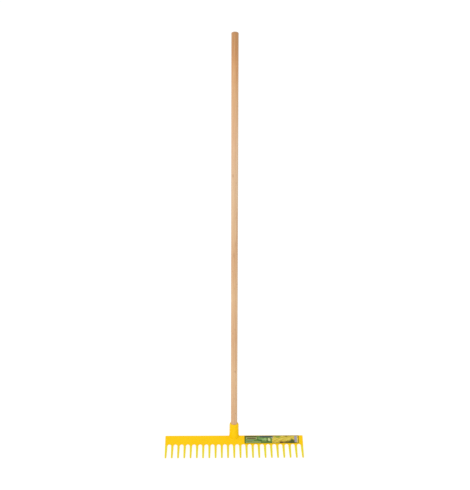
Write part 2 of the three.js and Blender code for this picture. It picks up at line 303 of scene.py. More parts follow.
# Fibre streaks, drawn a millimetre or two wide because real fibres are too fine to show.
STREAK_WIDTH = 1.6 * MM
STREAK_LENGTH = 90 * MM
streaks = add_node(tree, "ShaderNodeTexNoise", {
    "Vector": add_node(tree, "ShaderNodeMapping", {
        "Vector": place,
        "Scale": (1 / STREAK_WIDTH, 1 / STREAK_WIDTH, 1 / STREAK_LENGTH),
    }).outputs["Vector"],
    "Scale": 1.0,
    "Detail": 4.0,
    "Roughness": 0.6,
}).outputs["Fac"]

# The wood's own colour drifts along its length, from the foot to the free end.
height = add_node(tree, "ShaderNodeSeparateXYZ", {"Vector": place}).outputs["Z"]
along = add_node(tree, "ShaderNodeMapRange", {
    "Value": height,
    "From Min": handle_low.z,
    "From Max": handle_high.z,
}).outputs["Result"]
DRIFT = (
    (0.00, "#d3a988"),
    (0.09, "#d5ae86"),
    (0.18, "#dab68c"),
    (0.28, "#d1a77e"),
    (0.39, "#d9b58a"),
    (0.48, "#cfa57b"),
    (0.57, "#d8b78f"),
    (0.66, "#d8b894"),
    (0.77, "#d8b18c"),
    (0.86, "#d2a77a"),
    (0.93, "#cb9865"),
    (0.955, "#bd8755"),
    (0.985, "#b48250"),
)
drift = add_node(tree, "ShaderNodeValToRGB", {"Fac": along})
for stop, (share, colour) in enumerate(DRIFT):
    element = drift.color_ramp.elements[stop] if stop < 2 else drift.color_ramp.elements.new(share)
    element.position = share
    element.color = linear(colour)

# Late wood, dark fibres and pale ones are laid over it in turn. In a Mix node 0 is the share,
# 6 the colour below, 7 the colour above and output 2 the result.
LATE_WOOD_STRENGTH = 0.30
DARK_FIBRE_STRENGTH = 0.30
PALE_FIBRE_STRENGTH = 0.35
late_wood_share = add_node(tree, "ShaderNodeMath", {
    0: late_wood,
    1: LATE_WOOD_STRENGTH,
}, operation="MULTIPLY").outputs["Value"]
wood = add_node(tree, "ShaderNodeMix", {
    0: late_wood_share,
    6: drift.outputs["Color"],
    7: linear("#b9794a"),
}, data_type="RGBA").outputs[2]
dark_fibres = add_node(tree, "ShaderNodeMapRange", {
    "Value": streaks,
    "From Min": 0.42,
    "From Max": 0.72,
}).outputs["Result"]
dark_share = add_node(tree, "ShaderNodeMath", {
    0: dark_fibres,
    1: DARK_FIBRE_STRENGTH,
}, operation="MULTIPLY").outputs["Value"]
wood = add_node(tree, "ShaderNodeMix", {
    0: dark_share,
    6: wood,
    7: linear("#c08a5c"),
}, data_type="RGBA").outputs[2]
pale_fibres = add_node(tree, "ShaderNodeMapRange", {
    "Value": streaks,
    "From Min": 0.50,
    "From Max": 0.28,
}).outputs["Result"]
pale_share = add_node(tree, "ShaderNodeMath", {
    0: pale_fibres,
    1: PALE_FIBRE_STRENGTH,
}, operation="MULTIPLY").outputs["Value"]
wood = add_node(tree, "ShaderNodeMix", {
    0: pale_share,
    6: wood,
    7: linear("#ecd2ac"),
}, data_type="RGBA").outputs[2]

# Each knot is (height, degrees round from the front to the right, width, length, strength), with
# its lengths in mm. The last four are on the back.
KNOTS = (
    (1132, -30, 5, 22, 0.75),
    (1103, 25, 4, 16, 0.30),
    (955, 10, 4, 18, 0.25),
    (842, 20, 5, 42, 0.35),
    (794, -10, 5, 42, 0.35),
    (723, -35, 3, 10, 0.45),
    (647, 5, 4, 16, 0.25),
    (459, 10, 4, 14, 0.40),
    (440, -25, 4, 14, 0.40),
    (260, 15, 5, 16, 0.75),
    (129, 0, 4, 16, 0.25),
    (55, 25, 4, 14, 0.40),
    (1485, 150, 6, 20, 0.70),
    (1010, 200, 5, 20, 0.60),
    (560, 120, 6, 22, 0.70),
    (330, 230, 5, 18, 0.60),
)
for knot_height, round_to, width, length, strength in KNOTS:
    turn = math.radians(round_to)
    centre = Vector((
        handle_radius * math.sin(turn),
        -handle_radius * math.cos(turn),
        knot_height * MM,
    ))
    scale = Vector((1 / width, 1 / width, 1 / length)) / MM * 2
    offset = add_node(tree, "ShaderNodeMapping", {
        "Vector": place,
        "Location": -centre * scale,
        "Scale": scale,
    })
    reach = add_node(tree, "ShaderNodeVectorMath", {0: offset.outputs["Vector"]}, operation="LENGTH")
    share = add_node(tree, "ShaderNodeMapRange", {
        "Value": reach.outputs["Value"],
        "From Min": 1.0,
        "From Max": 0.2,
        "To Max": strength,
    }, interpolation_type="SMOOTHSTEP").outputs["Result"]
    wood = add_node(tree, "ShaderNodeMix", {
        0: share,
        6: wood,
        7: linear("#8f5a32"),
    }, data_type="RGBA").outputs[2]

tree.links.new(wood, shader.inputs["Base Color"])
grain = add_node(tree, "ShaderNodeBump", {
    "Height": streaks,
    "Strength": 0.35,
    "Distance": 0.3 * MM,
})
tree.links.new(grain.outputs["Normal"], shader.inputs["Normal"])
handle.data.materials.append(pine)
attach(handle, "root")
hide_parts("handle")


# ---------------------------------------------------------------------------------------------
# Rake head
# One injection moulding in yellow polypropylene: a slanted plate with a lip along its back edge,
# 23 tines that run up the back of the plate as ribs, and an upright socket with a gusset on each
# side and a boss behind for the screw. It is drawn flat, bent to its side view, then joined.
# ---------------------------------------------------------------------------------------------

TINE_COUNT = 23
TINE_PITCH = 27 * MM
TINE_ROOT_WIDTH = 10.4 * MM
TINE_TIP_WIDTH = 7.6 * MM
TINE_POINT = 7 * MM             # the length of the rounded point
POINT_ROWS = (0.35, 0.62, 0.82, 0.94, 1.0)      # as shares of that length
POINT_BLUNTNESS = 0.08          # the square of the width that its end keeps
POINT_THINNING = 0.5            # the share of its depth that its end loses
TINE_LENGTH = 85 * MM           # along the curve, from the top of the arches to the tip
TINE_ROOT_DEPTH = 8 * MM
TINE_TIP_DEPTH = 4.6 * MM
RIB_WIDTH = 6 * MM
RIB_START = 9 * MM              # below the plate's top edge
ARCH_LAND = 4 * MM              # of whole plate above the arches
PLATE_DROP = 62.5 * MM          # from the socket's mouth to the plate's top edge
PLATE_HEIGHT = 42.5 * MM
PLATE_DEPTH = 4.5 * MM
CORNER_RADIUS = 3 * MM
LIP_DEPTH = 11 * MM
LIP_HEIGHT = 3.5 * MM
PLATE_ROWS = (32 * MM, 20 * MM, RIB_START, LIP_HEIGHT, LIP_HEIGHT / 2, 0)   # below its top edge
BEND_LENGTH = 12 * MM
PLATE_SLOPE = 63.5              # degrees forward from straight down
ROOT_SLOPE = 75
TIP_SLOPE = 85
EDGE_ROUNDING = 0.8 * MM
ROUNDED_EDGE = 50               # degrees: an edge that turns more is rounded
SMOOTH_PLASTIC = 35
SIDE_SHARE = 0.55               # of a tine's depth, down to where its side is jointed
ARCH_STEPS = 6                  # in each quarter of an arch
TINE_STEPS = 14
CLOSE = 0.01 * MM               # two places nearer than this are the same

arch_radius = (TINE_PITCH - TINE_ROOT_WIDTH) / 2
arch_centre = PLATE_HEIGHT + arch_radius
tip_distance = PLATE_HEIGHT + TINE_LENGTH
last_tine = (TINE_COUNT - 1) / 2 * TINE_PITCH
half_width = last_tine + TINE_ROOT_WIDTH / 2


def pick(kind, test):
    """Selects, on the piece in edit mode, just the faces, edges or verts that pass a test."""
    bpy.ops.mesh.select_mode(type={"verts": "VERT", "edges": "EDGE", "faces": "FACE"}[kind])
    bpy.ops.mesh.select_all(action="DESELECT")
    mesh = bmesh.from_edit_mesh(bpy.context.object.data)
    for element in getattr(mesh, kind):
        if test(element):
            element.select_set(True)
    mesh.select_flush_mode()
    bmesh.update_edit_mesh(bpy.context.object.data)


def all_at(element, axis, value):
    """Whether an edge or face lies at one value of an axis."""
    return all(abs(v.co[axis] - value) < CLOSE for v in element.verts)


def middle(element):
    """The mean place of an element's vertices."""
    return sum((v.co for v in element.verts), Vector()) / len(element.verts)


def pull(x=0, y=0, z=0):
    """Extrudes what is selected by a distance."""
    bpy.ops.mesh.extrude_region_move(TRANSFORM_OT_translate={"value": (x, y, z)})


def level_off(y):
    """Brings what is selected to one line across the head."""
    bpy.ops.transform.resize(value=(1, 0, 1), center_override=(0, y, 0))


# Half a tine and half an arch, drawn flat: X along the head, -Y down the slope, Z out of the
# front. The arch is a quarter of a circle, extruded up to the plate and out to the tine.
bpy.ops.mesh.primitive_circle_add(
    vertices=4 * ARCH_STEPS, radius=arch_radius, location=(TINE_PITCH / 2, -arch_centre, 0))
head = bpy.context.active_object
bpy.ops.object.transform_apply(location=True, rotation=True, scale=True)
edit(head)
pick("verts", lambda v: v.co.x > TINE_PITCH / 2 + CLOSE or v.co.y < -arch_centre - CLOSE)
bpy.ops.mesh.delete(type="VERT")
above_arches = -(PLATE_HEIGHT - ARCH_LAND)
pick("edges", lambda e: True)
pull(y=ARCH_LAND)
level_off(above_arches)
tine_edge = TINE_ROOT_WIDTH / 2
pick("edges", lambda e: all_at(e, 0, tine_edge))
pull(x=RIB_WIDTH / 2 - tine_edge)
pull(x=-RIB_WIDTH / 2)
last = above_arches
for row in PLATE_ROWS:
    pick("edges", lambda e: all_at(e, 1, last))
    pull(y=-row - last)
    last = -row

# The tine grows out of the bottom of its half, narrower step by step, to a rounded point.
shoulder = tip_distance - TINE_POINT
straight = shoulder - arch_centre
tine_rows = [
    (arch_centre + straight * i / TINE_STEPS,
     tine_edge + (TINE_TIP_WIDTH / 2 - tine_edge) * i / TINE_STEPS)
    for i in range(1, TINE_STEPS + 1)
]
for share in POINT_ROWS:
    tine_rows.append((
        shoulder + TINE_POINT * share,
        TINE_TIP_WIDTH / 2 * math.sqrt(max(1 - share ** 2, POINT_BLUNTNESS)),
    ))
last, width = arch_centre, tine_edge
for distance, next_width in tine_rows:
    pick("edges", lambda e: all_at(e, 1, -last) and middle(e).x < tine_edge)
    pull(y=last - distance)
    bpy.ops.transform.resize(value=(next_width / width, 1, 1), center_override=(0, 0, 0))
    last, width = distance, next_width

# The flat front gets its depth, then the rib and tine and the lip are pulled on further back.
pick("faces", lambda f: True)
pull(z=-PLATE_DEPTH)


def is_tine_back(face):
    """Whether a face of the back belongs to the rib or the tine."""
    x, y, _ = middle(face)
    on_rib = x < RIB_WIDTH / 2 and y < -RIB_START
    return on_rib or (x < tine_edge and y < above_arches)


def tine_depth(distance):
    """How deep the rib or the tine is at a distance down from the plate's top edge."""
    if distance < PLATE_HEIGHT:
        share = (distance - RIB_START) / (PLATE_HEIGHT - RIB_START)
        return PLATE_DEPTH + (TINE_ROOT_DEPTH - PLATE_DEPTH) * share
    share = (distance - PLATE_HEIGHT) / (tip_distance - PLATE_HEIGHT)
    point = max(distance - shoulder, 0) / TINE_POINT
    whole = TINE_ROOT_DEPTH + (TINE_TIP_DEPTH - TINE_ROOT_DEPTH) * share
    return whole * (1 - POINT_THINNING * point ** 3)


def all_flat_back(face):
    """Whether a face lies wholly in the plate's back."""
    return all(abs(v.co.z + PLATE_DEPTH) < CLOSE for v in face.verts)


# The backs of the ribs and tines are pulled out by any distance, and then set to their depth.
pick("faces", lambda f: all_flat_back(f) and is_tine_back(f))
pull(z=-1 * MM)
mesh = bmesh.from_edit_mesh(head.data)
for vertex in mesh.verts:
    if vertex.select:
        beside_rib = vertex.co.x > RIB_WIDTH / 2 + CLOSE and vertex.co.y > -arch_centre + CLOSE
        vertex.co.z = -PLATE_DEPTH if beside_rib else -tine_depth(-vertex.co.y)
    elif vertex.co.y < -arch_centre - CLOSE and vertex.co.z < -CLOSE:
        vertex.co.z = max(vertex.co.z, -SIDE_SHARE * tine_depth(-vertex.co.y))
bmesh.update_edit_mesh(head.data)
pick("faces", lambda f: all_flat_back(f) and middle(f).y > -LIP_HEIGHT)
pull(z=PLATE_DEPTH - LIP_DEPTH)
pick("faces", lambda f: all_at(f, 0, 0) or all_at(f, 0, TINE_PITCH / 2))
bpy.ops.mesh.delete(type="FACE")
bpy.ops.mesh.select_all(action="SELECT")
bpy.ops.mesh.remove_doubles(threshold=CLOSE)
bpy.ops.object.mode_set(mode="OBJECT")


def apply_modifier(piece, kind, **settings):
    """Adds a modifier with its settings and applies it."""
    bpy.ops.object.select_all(action="DESELECT")
    bpy.context.view_layer.objects.active = piece
    piece.select_set(True)
    modifier = piece.modifiers.new(kind.lower(), kind)
    for name, value in settings.items():
        setattr(modifier, name, value)
    bpy.ops.object.modifier_apply(modifier=modifier.name)


apply_modifier(head, "MIRROR", use_mirror_merge=True, merge_threshold=CLOSE)
apply_modifier(
    head, "ARRAY", count=TINE_COUNT, use_relative_offset=False, use_constant_offset=True,
    constant_offset_displace=(TINE_PITCH, 0, 0), use_merge_vertices=True, merge_threshold=CLOSE)
edit(head)
bpy.ops.mesh.select_all(action="SELECT")
bpy.ops.transform.translate(value=(-last_tine, 0, 0))

# Past the outer tines the plate ends flush with them, its top corners rounded.
pick("faces", lambda f: abs(middle(f).x) > half_width)
bpy.ops.mesh.delete(type="FACE")
for end in (-half_width, half_width):
    pick("edges", lambda e: e.is_boundary and all_at(e, 0, end))
    bpy.ops.mesh.edge_face_add()
mesh = bmesh.from_edit_mesh(head.data)
for vertex in mesh.verts:
    side = math.copysign(1, vertex.co.x)
    centre = Vector((half_width - CORNER_RADIUS, -CORNER_RADIUS))
    from_centre = Vector((abs(vertex.co.x), vertex.co.y)) - centre
    if from_centre.x > 0 and from_centre.y > 0 and from_centre.length > CORNER_RADIUS:
        rounded = centre + from_centre.normalized() * CORNER_RADIUS
        vertex.co.x = side * rounded.x
        vertex.co.y = rounded.y
bpy.ops.mesh.select_all(action="SELECT")
bpy.ops.mesh.normals_make_consistent(inside=False)
bpy.ops.object.mode_set(mode="OBJECT")
apply_modifier(
    head, "BEVEL", width=EDGE_ROUNDING, segments=2, limit_method="ANGLE",
    angle_limit=math.radians(ROUNDED_EDGE), use_clamp_overlap=True, miter_outer="MITER_ARC")


def down_front(distance, depth=0.0):
    """The (y, z) of a point a distance down the front face and a depth behind it."""
    y, z, slope = 0.0, -PLATE_DROP, PLATE_SLOPE
    for length, start, end in (
        (PLATE_HEIGHT, PLATE_SLOPE, PLATE_SLOPE),
        (BEND_LENGTH, PLATE_SLOPE, ROOT_SLOPE),
        (TINE_LENGTH - BEND_LENGTH, ROOT_SLOPE, TIP_SLOPE),
    ):
        run = min(distance, length)
        slope = start + (end - start) * run / length
        half_turn = math.radians(slope - start) / 2
        chord = run * math.sin(half_turn) / half_turn if half_turn else run
        chord_slope = math.radians(start + slope) / 2
        y -= chord * math.sin(chord_slope)
        z -= chord * math.cos(chord_slope)
        distance -= run
        if distance <= 0:
            break
    slope = math.radians(slope)
    return y + depth * math.cos(slope), z - depth * math.sin(slope)


for vertex in head.data.vertices:
    y, z = down_front(-vertex.co.y, -vertex.co.z)
    vertex.co.y = y
    vertex.co.z = z

# The socket: its foot is rounded over, and its mouth is drawn in towards the handle.
SOCKET_RADIUS = 20.1 * MM
SOCKET_FOOT_RADIUS = 20.85 * MM
SOCKET_BELOW_PLATE_TOP = 33.5 * MM
FOOT_ROUNDING = 3 * MM
FOOT_STEPS = 6
MOUTH_IN = 4.5 * MM
MOUTH_DOWN = 9 * MM
MOUTH_STEPS = 10
HANDLE_GAP = 0.3 * MM
SOCKET_FLOOR = 3.5 * MM
SOCKET_SIDES = 96
BORE_FLARE = 0.5 * MM           # how much wider the bore is at the mouth
FLARE_START = -2 * MM           # the heights between which it flares
FLARE_END = 0.2 * MM
BORE_PAST = 5 * MM              # how far the cutting piece stands out of the mouth

socket_foot = -PLATE_DROP - SOCKET_BELOW_PLATE_TOP
socket_rings = []
for i in range(FOOT_STEPS + 1):
    turn = math.pi / 2 * i / FOOT_STEPS
    socket_rings.append((
        SOCKET_FOOT_RADIUS - FOOT_ROUNDING * (1 - math.sin(turn)),
        socket_foot + FOOT_ROUNDING * (1 - math.cos(turn)),
    ))
for i in range(MOUTH_STEPS + 1):
    turn = math.pi / 2 * i / MOUTH_STEPS
    socket_rings.append((
        SOCKET_RADIUS - MOUTH_IN * (1 - math.cos(turn)),
        -MOUTH_DOWN * (1 - math.sin(turn)),
    ))
socket = turn_up("socket", SOCKET_SIDES, socket_rings)

bore_foot = socket_foot + SOCKET_FLOOR
bore = turn_up("bore", SOCKET_SIDES, [
    (foot_radius + HANDLE_GAP, bore_foot),
    (handle_radius + HANDLE_GAP, FLARE_START),
    (handle_radius + HANDLE_GAP + BORE_FLARE, FLARE_END),
    (handle_radius + HANDLE_GAP + BORE_FLARE, BORE_PAST),
])

# The gussets: a rectangle across the socket, its outer ends brought down along a curve.
GUSSET_REACH = 14 * MM
GUSSET_RISE = 9 * MM
GUSSET_DEPTH = 3.5 * MM
GUSSET_SETBACK = 0.4 * MM       # behind the plate's top edge
GUSSET_SUNK = 2 * MM            # how deep its foot lies in the plate
GUSSET_STEPS = 24
gusset_foot = -PLATE_DROP - GUSSET_DEPTH * math.tan(math.radians(PLATE_SLOPE))
gusset_top = -PLATE_DROP + GUSSET_RISE
bpy.ops.mesh.primitive_grid_add(
    x_subdivisions=GUSSET_STEPS, y_subdivisions=1, size=1,
    location=(0, GUSSET_SETBACK, 0), rotation=(math.radians(90), 0, 0))
gussets = bpy.context.active_object
gussets.scale = (2 * (SOCKET_RADIUS + GUSSET_REACH), 1, 1)
bpy.ops.object.transform_apply(location=True, rotation=True, scale=True)
for vertex in gussets.data.vertices:
    out = max(abs(vertex.co.x) - SOCKET_RADIUS, 0) / GUSSET_REACH
    top = gusset_foot + (gusset_top - gusset_foot) * (1 - math.sqrt(out)) ** 2
    vertex.co.z = top if vertex.co.z > 0 else gusset_foot - GUSSET_SUNK
edit(gussets)
pick("faces", lambda f: True)
pull(y=GUSSET_DEPTH - GUSSET_SETBACK)
bpy.ops.mesh.select_all(action="SELECT")
bpy.ops.mesh.normals_make_consistent(inside=False)
close(gussets, "gussets")

# The fillet where the front of the socket runs into the plate: a ten-sided bar with a row each
# millimetre, wrapped round the socket and shaped to a hollow curve, its back sunk in both. It
# thins out towards the gussets.
FILLET_RADIUS = 3.5 * MM
FILLET_SUNK = 0.05 * MM
FILLET_ROWS = 40
FILLET_SIDES = 10
FILLET_CURVE = 5                # the steps of its hollow curve
FILLET_ROOT = 1 * MM            # how deep its back lies in the socket and the plate
FILLET_END = math.radians(14)   # the turn over which it thins out
FILLET_END_SIZE = 0.1           # the share of its size that is left there


def socket_radius_at(z):
    """The socket's radius at a height."""
    share = (z + MOUTH_DOWN) / (socket_foot + MOUTH_DOWN)
    return SOCKET_RADIUS + (SOCKET_FOOT_RADIUS - SOCKET_RADIUS) * share


def plate_height_at(y):
    """The height of the plate's front at a place forward of its top edge."""
    return -PLATE_DROP + y / math.tan(math.radians(PLATE_SLOPE))


fillet = turn_up(
    "fillet", FILLET_SIDES, [(1 * MM, i * MM) for i in range(FILLET_ROWS + 1)])
for vertex in fillet.data.vertices:
    turn = math.pi * (vertex.co.z / MM / FILLET_ROWS - 0.5)
    side = round(math.atan2(vertex.co.y, vertex.co.x) / math.tau * FILLET_SIDES) % FILLET_SIDES
    size = FILLET_RADIUS * min(1, (math.pi / 2 - abs(turn)) / FILLET_END + FILLET_END_SIZE)
    radius = socket_radius_at(-PLATE_DROP)
    corner = plate_height_at(-radius * math.cos(turn))
    radius = socket_radius_at(corner)
    if side <= FILLET_CURVE:
        up = side / FILLET_CURVE
        out = size * (1 - up) ** 2 - FILLET_SUNK * up
        rise = size * up ** 2 - FILLET_SUNK * (1 - up)
    else:
        back = (side - FILLET_CURVE) / (FILLET_SIDES - FILLET_CURVE)
        out = -FILLET_ROOT + size * max(0, 2 * back - 1)
        rise = -FILLET_ROOT + size * max(0, 1 - 2 * back)
    reach = radius + out
    fall = plate_height_at(-reach * math.cos(turn)) if out > 0 else corner
    vertex.co = (reach * math.sin(turn), -reach * math.cos(turn), fall + rise)
edit(fillet)
bpy.ops.mesh.select_all(action="SELECT")
bpy.ops.mesh.normals_make_consistent(inside=False)
close(fillet, "fillet")

# The boss and the countersunk hole behind the socket.
BOSS_RADIUS = 7 * MM
BOSS_PROUD = 1.5 * MM
BOSS_SUNK = 4 * MM
BOSS_ROUNDING = 0.6 * MM
BOSS_SIDES = 48
SCREW_DROP = 30 * MM
SCREW_GAP = 0.3 * MM
SCREW_SIDES = 32
screw_low, screw_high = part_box("fixing_screw")
screw_head_radius = screw_high.x
screw_face = screw_high.y


def lay_back(piece):
    """Turns a piece made along Z into the screw's place, its top facing backwards."""
    for vertex in piece.data.vertices:
        x, y, z = vertex.co
        vertex.co = (x, screw_face + z, -SCREW_DROP - y)


boss = turn_up("boss", BOSS_SIDES, [
    (BOSS_RADIUS, -BOSS_PROUD - BOSS_SUNK),
    (BOSS_RADIUS, -BOSS_ROUNDING),
    (BOSS_RADIUS - BOSS_ROUNDING / 3, -BOSS_ROUNDING / 3),
    (BOSS_RADIUS - BOSS_ROUNDING, 0),
])
lay_back(boss)

SCREW_RADIUS = 2.25 * MM
HEAD_LAND = 0.6 * MM            # the straight edge of the screw's head
HOLE_DEPTH = 12 * MM
HOLE_PAST = 3 * MM              # how far the cutting piece stands out of the boss
cone = screw_head_radius - SCREW_RADIUS
screw_hole = turn_up("screw_hole", SCREW_SIDES, [
    (SCREW_RADIUS + SCREW_GAP, -HOLE_DEPTH),
    (SCREW_RADIUS + SCREW_GAP, -HEAD_LAND - cone - SCREW_GAP),
    (screw_head_radius + SCREW_GAP, -HEAD_LAND - SCREW_GAP),
    (screw_head_radius + SCREW_GAP, HOLE_PAST),
])
lay_back(screw_hole)


def combine(piece, other, operation):
    """Joins another solid to a piece or cuts it away, and removes the other."""
    apply_modifier(piece, "BOOLEAN", object=other, operation=operation, solver="EXACT")
    bpy.data.objects.remove(other)


combine(head, socket, "UNION")
combine(head, fillet, "UNION")
combine(head, gussets, "UNION")
combine(head, boss, "UNION")
combine(head, bore, "DIFFERENCE")
combine(head, screw_hole, "DIFFERENCE")

# Joining leaves a few slivers behind, which are merged away.
edit(head)
bpy.ops.mesh.select_all(action="SELECT")
bpy.ops.mesh.remove_doubles(threshold=CLOSE / 2)
bpy.ops.mesh.dissolve_degenerate(threshold=CLOSE / 2)
bpy.ops.mesh.select_all(action="SELECT")
bpy.ops.mesh.delete_loose()
close(head, "moulded_head")
smooth(head, SMOOTH_PLASTIC)

# Polypropylene moulded in a lightly polished mould: a saturated yellow with a satin gloss, in faint
# patches of warmer yellow. Down the tines the colour is painted light: paler and more lemon, a
# painted glow that stands in for light shining through the thin tines.
PAINTED_PALING = 12 * MM                # below the arches, over which the tines turn lemon
PATCHES = 14                    # to the metre
SKIN_GRAIN = 0.9 * MM           # as coarse as it needs to show
plastic, tree, shader = new_material(
    "moulded_yellow_polypropylene", Roughness=0.42, IOR=1.49, Specular_IOR_Level=0.15)
place = add_node(tree, "ShaderNodeTexCoord").outputs["Object"]
forward = add_node(tree, "ShaderNodeSeparateXYZ", {"Vector": place}).outputs["Y"]
# Painted light: this share grows down the tines and mixes in a paler lemon, a painted glow of light
# through them.
painted_light_share = add_node(tree, "ShaderNodeMapRange", {
    "Value": forward,
    "From Min": down_front(PLATE_HEIGHT)[0],
    "From Max": down_front(arch_centre + PAINTED_PALING)[0],
}, interpolation_type="SMOOTHSTEP").outputs["Result"]
yellow = add_node(tree, "ShaderNodeMix", {
    0: painted_light_share,
    6: linear("#facc00"),
    7: linear("#e9dd34"),
}, data_type="RGBA").outputs[2]
patches = add_node(tree, "ShaderNodeTexNoise", {
    "Vector": place,
    "Scale": PATCHES,
    "Detail": 2.0,
}).outputs["Fac"]
patch_share = add_node(tree, "ShaderNodeMapRange", {
    "Value": patches,
    "From Min": 0.35,
    "From Max": 0.65,
    "To Max": 0.35,
}).outputs["Result"]
yellow = add_node(tree, "ShaderNodeMix", {
    0: patch_share,
    6: yellow,
    7: linear("#f7c300"),
}, data_type="RGBA").outputs[2]
tree.links.new(yellow, shader.inputs["Base Color"])
texture = add_node(tree, "ShaderNodeTexNoise", {
    "Vector": place,
    "Scale": 1 / SKIN_GRAIN,
    "Detail": 3.0,
})
skin = add_node(tree, "ShaderNodeBump", {
    "Height": texture.outputs["Fac"],
    "Strength": 0.12,
    "Distance": 0.1 * MM,
})
tree.links.new(skin.outputs["Normal"], shader.inputs["Normal"])
head.data.materials.append(plastic)
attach(head, "root")
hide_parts("rake_head")


# ---------------------------------------------------------------------------------------------
# Fixing screw
# A countersunk cross-recess wood screw in zinc-plated steel, driven from behind through the boss
# into the handle. Its head ends level with the boss, and its thread bites in the wood.
# ---------------------------------------------------------------------------------------------

THREAD_PITCH = 1.8 * MM
THREAD_HEIGHT = 0.5 * MM
THREAD_START = 9 * MM           # in from the head's face
THREAD_ROW = 0.3 * MM
THREAD_FLANK = 0.3              # of the pitch, from the crest down to the core
SCREW_TAPER = 5 * MM            # the length of the point
TIP_SHARE = 0.15                # of the core, left at its end
EDGE_BREAK = 0.15 * MM
RECESS_SPAN = 4.6 * MM
RECESS_WIDTH = 1.2 * MM
RECESS_DEPTH = 1.8 * MM
RECESS_NARROWING = (0.4, 0.5, 1)
SMOOTH_STEEL = 30

screw_length = screw_high.y - screw_low.y
core = SCREW_RADIUS - THREAD_HEIGHT
thread_rows = math.floor((screw_length - THREAD_START) / THREAD_ROW)
screw_rings = []
for i in range(thread_rows + 1):
    from_tip = i * THREAD_ROW
    taper = min(1, TIP_SHARE + from_tip / SCREW_TAPER)
    screw_rings.append((core * taper, from_tip - screw_length))
screw_rings += [
    (core, -HEAD_LAND - cone - SCREW_RADIUS + core),
    (screw_head_radius, -HEAD_LAND),
    (screw_head_radius, -EDGE_BREAK),
    (screw_head_radius - EDGE_BREAK, 0),
]
screw = turn_up("countersunk_screw", SCREW_SIDES, screw_rings)
for vertex in screw.data.vertices:
    from_tip = vertex.co.z + screw_length
    if vertex.co.z < -THREAD_START:
        round_to = math.atan2(vertex.co.y, vertex.co.x) / math.tau
        phase = (vertex.co.z / THREAD_PITCH - round_to) % 1
        crest = max(0, 1 - abs(phase - 0.5) / THREAD_FLANK) * min(1, from_tip / SCREW_TAPER)
        outward = Vector((vertex.co.x, vertex.co.y, 0)).normalized()
        vertex.co += outward * THREAD_HEIGHT * crest

# The cross recess: a bar cut in twice, square to itself, narrower towards its bottom.
for turn in (0, 90):
    bpy.ops.mesh.primitive_cube_add(size=1)
    bar = bpy.context.active_object
    bar.scale = (RECESS_SPAN, RECESS_WIDTH, 2 * RECESS_DEPTH)
    bpy.ops.object.transform_apply(location=True, rotation=True, scale=True)
    edit(bar)
    pick("faces", lambda f: f.normal.z < -0.5)
    bpy.ops.transform.resize(value=RECESS_NARROWING, center_override=(0, 0, 0))
    bpy.ops.mesh.select_all(action="SELECT")
    bpy.ops.transform.rotate(value=math.radians(turn), orient_axis="Z", center_override=(0, 0, 0))
    close(bar, "recess_bar")
    combine(screw, bar, "DIFFERENCE")
lay_back(screw)
smooth(screw, SMOOTH_STEEL)

# Zinc plating: bright grey metal with a thin bluish passivation, dulled unevenly by handling.
CLOUD_SIZE = 2 * MM
zinc, tree, shader = new_material("zinc_plated_steel", Metallic=1.0)
place = add_node(tree, "ShaderNodeTexCoord").outputs["Object"]
clouds = add_node(tree, "ShaderNodeTexNoise", {
    "Vector": place,
    "Scale": 1 / CLOUD_SIZE,
    "Detail": 3.0,
}).outputs["Fac"]
plating = add_node(tree, "ShaderNodeMix", {
    0: clouds,
    6: linear("#c9cdd0"),
    7: linear("#a9b0b8"),
}, data_type="RGBA").outputs[2]
tree.links.new(plating, shader.inputs["Base Color"])
dulled = add_node(tree, "ShaderNodeMapRange", {
    "Value": clouds,
    "To Min": 0.26,
    "To Max": 0.44,
}).outputs["Result"]
tree.links.new(dulled, shader.inputs["Roughness"])
screw.data.materials.append(zinc)
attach(screw, "root")
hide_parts("fixing_screw")


# ---------------------------------------------------------------------------------------------
# Label
# A self-adhesive plastic film, printed in colour and pressed onto the front of the plate between
# the socket and the right end: a green panel on the left and a field of straw on the right.
# ---------------------------------------------------------------------------------------------

FILM_THICKNESS = 0.4 * MM
ADHESIVE = 0.3 * MM
LABEL_MARGIN = 2 * MM           # above and below
LABEL_CORNER = 1.5 * MM
CORNER_STEPS = 5
SMOOTH_FILM = 30

label_low, label_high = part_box("label")
label_width = label_high.x - label_low.x
label_height = PLATE_HEIGHT - 2 * LABEL_MARGIN
bpy.ops.mesh.primitive_plane_add(size=1)
label = bpy.context.active_object
label.scale = (label_width, label_height, 1)
bpy.ops.object.transform_apply(location=True, rotation=True, scale=True)
edit(label)
pick("verts", lambda v: True)
bpy.ops.mesh.bevel(offset=LABEL_CORNER, segments=CORNER_STEPS, affect="VERTICES")
pick("faces", lambda f: True)
pull(z=FILM_THICKNESS)
bpy.ops.mesh.select_all(action="SELECT")
bpy.ops.mesh.normals_make_consistent(inside=False)
close(label, "printed_label")
label_print = label.data.uv_layers.new(name="print")
for loop in label.data.loops:
    x, y, _ = label.data.vertices[loop.vertex_index].co
    label_print.data[loop.index].uv = (x / label_width + 0.5, y / label_height + 0.5)
label_middle = (label_low.x + label_high.x) / 2
for vertex in label.data.vertices:
    x, y, z = vertex.co
    vertex.co = (label_middle + x, *down_front(PLATE_HEIGHT / 2 - y, -ADHESIVE - z))
smooth(label, SMOOTH_FILM)

